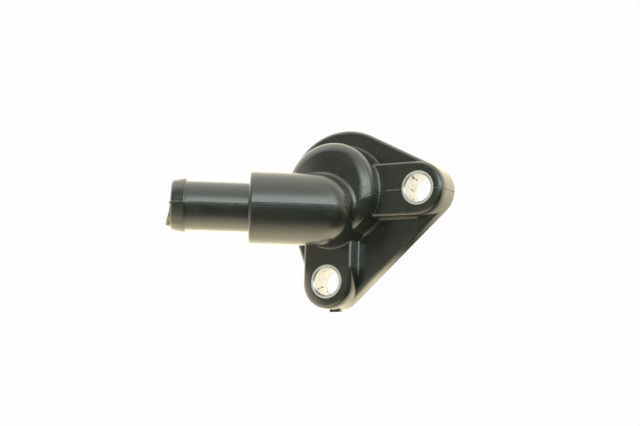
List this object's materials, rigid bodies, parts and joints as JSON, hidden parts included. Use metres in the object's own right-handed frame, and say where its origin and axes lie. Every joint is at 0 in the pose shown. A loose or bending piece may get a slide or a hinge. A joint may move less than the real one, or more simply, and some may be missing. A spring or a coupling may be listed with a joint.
{
  "type": "coolant flange",
  "caption": "Black plastic coolant flange with a three-cornered foot, a round chamber, sleeved bolt holes and a rising hose nipple with a barb.",
  "frame": {"origin": "middle of the port in the plane of the mounting face", "axes": "+Z away from the engine, +X from the port to the first bolt hole, the hose nipple leaves towards -X and rises towards +Z"},
  "size_m": [0.0832, 0.0598, 0.0494],
  "materials": {
    "moulding": "satin black glass-filled nylon as moulded",
    "sleeve_steel": "turned and clear zinc plated",
    "seal_rubber": "smooth black rubber"
  },
  "bodies": {
    "root": {"housing": "moulding", "sleeve_first": "sleeve_steel", "sleeve_second": "sleeve_steel", "seal_ring": "seal_rubber"}
  },
  "joints": []
}
